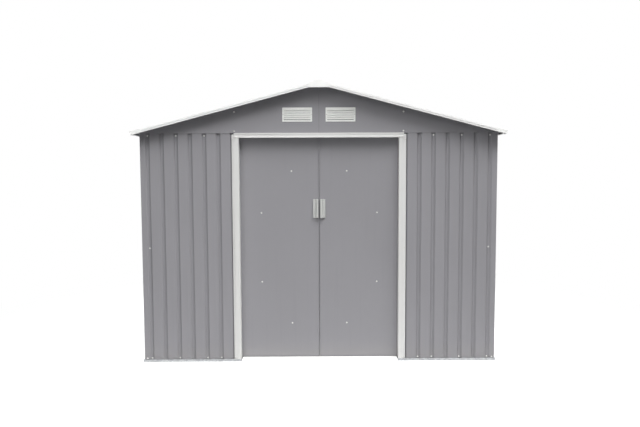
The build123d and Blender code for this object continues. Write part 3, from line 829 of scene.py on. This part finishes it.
class SHED_OT_brackets(bpy.types.Operator):
    """Folded brackets that hold the roof beams to the gables, with their screws"""

    bl_idname = "shed.brackets"
    bl_label = "Beam brackets"

    def execute(self, context):
        sizes = context.scene.shed_sizes
        leg, thick = sizes.bracket, sizes.bracket_sheet
        gable_inner = gable_face - sheet
        high, low, ridge_drop = -10 * mm, -36 * mm, 4 * mm
        bm = bmesh.new()
        screws = []
        for x_sign in (-1, 1):
            for y_sign in (-1, 1):
                wall = y_sign * gable_inner
                end = y_sign * (gable_inner - leg)
                # Each beam: where its outer face starts, which way the bracket reaches, and its two heights
                ridge_x = ridge_beam_reach * math.cos(roof_tilt)
                ridge_z = on_slope(ridge_beam_reach, 0.0, 0.0).z
                beams = ((Vector((ridge_x, 0, ridge_z + high - ridge_drop)), Vector((0, 0, low - high)),
                          Vector((1, 0, 0))),
                         (on_slope(purlin, high, 0), on_slope(purlin, low, 0) - on_slope(purlin, high, 0),
                          Vector((-math.cos(roof_tilt), 0, math.sin(roof_tilt)))))
                for top, drop, out in beams:
                    flip = Vector((x_sign, 1, 1))
                    top, drop, out = top * flip, drop * flip, out * flip
                    corners = [top, top + drop]
                    web = [Vector((p.x, y, p.z)) for p, y in ((corners[0], wall), (corners[1], wall),
                                                              (corners[1], end), (corners[0], end))]
                    add_plate(bm, web, out * thick)
                    foot = [Vector((p.x, wall, p.z)) + out * reach
                            for p, reach in ((corners[0], thick), (corners[1], thick), (corners[1], leg),
                                             (corners[0], leg))]
                    inward = Vector((0, -y_sign, 0))
                    add_plate(bm, foot, inward * thick)
                    middle = (corners[0] + corners[1]) / 2
                    web_hole = Vector((middle.x, (wall + end) / 2, middle.z)) + out * thick
                    foot_hole = Vector((middle.x, wall, middle.z)) + out * (0.6 * leg) + inward * thick
                    screws.append((tuple(web_hole), tuple(out), False))
                    screws.append((tuple(foot_hole), tuple(inward), False))
        brackets = new_piece("beam_brackets", bm, ["galvanised_steel"], "shed")
        soften(brackets, "eased_edges", 0.4 * mm)
        screw_piece("bracket_screws", "shed", screws, light_screw)
        return {"FINISHED"}


class SHED_OT_ground_fittings(bpy.types.Operator):
    """Anchors through the base rails, gussets in the back corners and rubber stops in the lower track"""

    bl_idname = "shed.ground_fittings"
    bl_label = "Ground fittings"

    def execute(self, context):
        sizes = context.scene.shed_sizes
        thick = sizes.bracket_sheet
        inset, bolt_height = 38 * mm, 5.3 * mm
        side_places, back_places = (-600 * mm, 0.0, 600 * mm), (-900 * mm, -300 * mm, 300 * mm, 900 * mm)
        places = [(x_sign * (side_face - inset), y) for x_sign in (-1, 1) for y in side_places]
        places += [(x, wall_face - inset) for x in back_places]
        bm = bmesh.new()
        for x, y in places:
            add_disc(bm, (x, y, fold), (0, 0, 1), 0.72 * sizes.anchor, thick)
            add_nut(bm, (x, y, fold + thick), (0, 0, 1), sizes.anchor, bolt_height)
        new_piece("ground_anchors", bm, ["plated_screw"], "shed")
        bm = bmesh.new()
        screws = []
        near, far = 15 * mm, 95 * mm
        for sign in (-1, 1):
            corner = Vector((sign * (side_face - near), wall_face - near, fold))
            reach = far - near
            along_x, along_y = Vector((-sign * reach, 0, 0)), Vector((0, -reach, 0))
            # The outline is a triangle with its two far points cut off, and a screw near each corner
            nib = 0.15
            outline = [corner, corner + along_x, corner + along_x + nib * along_y,
                       corner + along_y + nib * along_x, corner + along_y]
            add_plate(bm, outline, (0, 0, thick))
            for step in (0.25 * along_x + 0.25 * along_y, 0.72 * along_x + 0.14 * along_y,
                         0.14 * along_x + 0.72 * along_y):
                screws.append((tuple(corner + step + Vector((0, 0, thick))), (0, 0, 1), False))
        gussets = new_piece("corner_gussets", bm, ["galvanised_steel"], "shed")
        soften(gussets, "eased_edges", 0.4 * mm)
        screw_piece("gusset_screws", "shed", screws, light_screw)
        # Rubber stops end the glides' run in the lower track
        bm = bmesh.new()
        middle_y = (track_low[1] + track_high[1]) / 2
        play, slant, stop_height = 0.4 * mm, 3 * mm, 7 * mm
        half_y = (track_high[1] - track_low[1]) / 2 - fold - play
        base = track_low[2] + fold
        for start, stop in ((-30 * mm, 30 * mm), (1072 * mm, 1090 * mm), (-1090 * mm, -1072 * mm)):
            outline = [(start, middle_y - half_y, base), (stop, middle_y - half_y, base),
                       (stop - slant, middle_y - half_y, base + stop_height),
                       (start + slant, middle_y - half_y, base + stop_height)]
            add_plate(bm, outline, (0, 2 * half_y, 0))
        stops = new_piece("track_stops", bm, ["epdm_rubber"], "shed")
        soften(stops, "eased_edges", 0.8 * mm)
        return {"FINISHED"}


def seen_directly(tree):
    """1 for what the camera, a reflection or a look through glass sees, 0 for light itself."""
    path = node(tree, "ShaderNodeLightPath")
    seen = node(tree, "ShaderNodeMath", {0: path.outputs["Is Camera Ray"], 1: path.outputs["Is Glossy Ray"]},
                operation="MAXIMUM")
    return node(tree, "ShaderNodeMath", {0: seen.outputs[0], 1: path.outputs["Is Transmission Ray"]},
                operation="MAXIMUM").outputs[0]


def studio_floor(scene):
    """White paper that goes to pure white for the camera and keeps the shed's soft shadow."""
    half, fade_start, fade_end = 30.0, 1.6, 3.4
    near_paper, far_paper, lifted, white = 0.58, 0.12, 0.78, 1.0
    bm = bmesh.new()
    bmesh.ops.create_grid(bm, x_segments=8, y_segments=8, size=half)
    mesh = bpy.data.meshes.new("studio_floor")
    bm.to_mesh(mesh)
    bm.free()
    floor = bpy.data.objects.new("studio_floor", mesh)
    scene.collection.objects.link(floor)
    paper = bpy.data.materials.new("studio_paper")
    paper.use_nodes = True
    tree = paper.node_tree
    tree.nodes.clear()
    spot = node(tree, "ShaderNodeTexCoord").outputs["Object"]
    away = node(tree, "ShaderNodeVectorMath", {0: spot}, operation="LENGTH")
    fade = node(tree, "ShaderNodeMapRange", {"Value": away.outputs["Value"], "From Min": fade_start,
                                             "From Max": fade_end}, interpolation_type="SMOOTHSTEP")
    # The paper throws light up at the shed from near by; further off it is dimmer
    shade = node(tree, "ShaderNodeMix", {"Factor": fade.outputs[0], "A": (near_paper,) * 3 + (1.0,),
                                         "B": (far_paper,) * 3 + (1.0,)}, data_type="RGBA")
    matt = node(tree, "ShaderNodeBsdfDiffuse", {"Color": shade.outputs["Result"]})
    # Under the shed the paper stays as dark as the room above it
    across = node(tree, "ShaderNodeSeparateXYZ", {"Vector": spot})
    side = node(tree, "ShaderNodeMath", {0: across.outputs["X"], 1: 0.0, 2: side_face}, operation="COMPARE")
    depth = node(tree, "ShaderNodeMath", {0: across.outputs["Y"], 1: 0.0, 2: wall_face}, operation="COMPARE")
    under = node(tree, "ShaderNodeMath", {0: side.outputs[0], 1: depth.outputs[0]}, operation="MULTIPLY")
    lift = node(tree, "ShaderNodeMapRange", {"Value": under.outputs[0], "To Min": lifted, "To Max": 0.0})
    near_glow = node(tree, "ShaderNodeEmission", {"Strength": lift.outputs[0]})
    near = node(tree, "ShaderNodeAddShader", {0: matt.outputs[0], 1: near_glow.outputs[0]})
    far = node(tree, "ShaderNodeEmission", {"Strength": white})
    paper_seen = node(tree, "ShaderNodeMixShader", {0: fade.outputs[0], 1: near.outputs[0],
                                                    2: far.outputs[0]})
    choose = node(tree, "ShaderNodeMixShader", {0: seen_directly(tree), 1: matt.outputs[0],
                                                2: paper_seen.outputs[0]})
    node(tree, "ShaderNodeOutputMaterial", {"Surface": choose.outputs[0]})
    floor.data.materials.append(paper)


def studio_surroundings(scene):
    """Pure white behind the shed, and a pale even fill for its surfaces."""
    fill_level, white_level = 0.02, 1.0
    world = bpy.data.worlds.new("studio")
    scene.world = world
    world.use_nodes = True
    tree = world.node_tree
    tree.nodes.clear()
    fill, white = (node(tree, "ShaderNodeBackground", {"Color": (1.0, 1.0, 1.0, 1.0), "Strength": level})
                   for level in (fill_level, white_level))
    choose = node(tree, "ShaderNodeMixShader", {0: seen_directly(tree), 1: fill.outputs[0],
                                                2: white.outputs[0]})
    node(tree, "ShaderNodeOutputWorld", {"Surface": choose.outputs[0]})


def studio_lamps(scene):
    """A wide soft box overhead, a weak one left of the camera and two behind the shed."""
    for name, size, place, aim, power in (
            ("overhead_box", 7.0, (1.8, -3.2, 8.6), (0.0, -0.8, 1.0), 1390.0),
            ("left_box", 3.0, (-3.6, -5.4, 4.8), (-0.6, -0.8, 0.9), 113.0),
            ("back_left_box", 3.5, (-5.0, 5.0, 3.6), (-0.6, 0.6, 0.9), 270.0),
            ("back_right_box", 3.5, (5.0, 5.5, 3.6), (0.6, 0.6, 0.9), 215.0)):
        lamp = bpy.data.lights.new(name, "AREA")
        lamp.shape = "SQUARE"
        lamp.size = size
        lamp.energy = power
        holder = bpy.data.objects.new(name, lamp)
        scene.collection.objects.link(holder)
        holder.location = place
        look = Vector(aim) - Vector(place)
        holder.rotation_euler = look.to_track_quat("-Z", "Y").to_euler()


def studio_camera(scene):
    """The photographer's camera."""
    view = scene.shed_camera
    camera = bpy.data.cameras.new("photographer")
    camera.sensor_width = 36.0
    camera.lens = view.lens
    eye = bpy.data.objects.new("photographer", camera)
    scene.collection.objects.link(eye)
    eye.matrix_world = (Matrix.Translation(view.place) @ Matrix.Rotation(view.turn, 4, "Z")
                        @ Matrix.Rotation(math.pi / 2 - view.tilt, 4, "X")
                        @ Matrix.Rotation(view.roll, 4, "Z"))
    scene.camera = eye
    scene.view_settings.view_transform = "Standard"


class SHED_OT_stage(bpy.types.Operator):
    """A white floor, soft studio light and the photographer's camera"""

    bl_idname = "shed.stage"
    bl_label = "Studio"

    def execute(self, context):
        scene = context.scene
        studio_floor(scene)
        studio_surroundings(scene)
        studio_lamps(scene)
        studio_camera(scene)
        return {"FINISHED"}


operators = [SHED_OT_walls, SHED_OT_doors, SHED_OT_trims, SHED_OT_mouldings, SHED_OT_rails,
             SHED_OT_wall_screws, SHED_OT_gable_screws, SHED_OT_doorway_screws, SHED_OT_door_screws,
             SHED_OT_vent_fittings, SHED_OT_seams, SHED_OT_roof_screws, SHED_OT_brackets,
             SHED_OT_ground_fittings, SHED_OT_stage]


class SHED_PT_panel(bpy.types.Panel):
    """The shed's pieces, in the order they are made"""

    bl_idname = "SHED_PT_panel"
    bl_label = "Garden shed"
    bl_space_type = "VIEW_3D"
    bl_region_type = "UI"
    bl_category = "Shed"

    def draw(self, context):
        scene = context.scene
        for group in (scene.shed_colours, scene.shed_sizes, scene.shed_camera):
            box = self.layout.box()
            for name in group.__annotations__:
                box.prop(group, name)
        for operator in operators:
            self.layout.operator(operator.bl_idname)


groups = {"shed_colours": ShedColours, "shed_sizes": ShedSizes, "shed_camera": ShedCamera}


def register():
    for cls in list(groups.values()) + operators + [SHED_PT_panel]:
        bpy.utils.register_class(cls)
    for name, cls in groups.items():
        setattr(bpy.types.Scene, name, bpy.props.PointerProperty(type=cls))


def unregister():
    for name in groups:
        delattr(bpy.types.Scene, name)
    for cls in reversed(list(groups.values()) + operators + [SHED_PT_panel]):
        bpy.utils.unregister_class(cls)


def main():
    """Make every piece in order."""
    register()
    for operator in operators:
        group, name = operator.bl_idname.split(".")
        getattr(getattr(bpy.ops, group), name)()


if __name__ == "__main__":
    main()
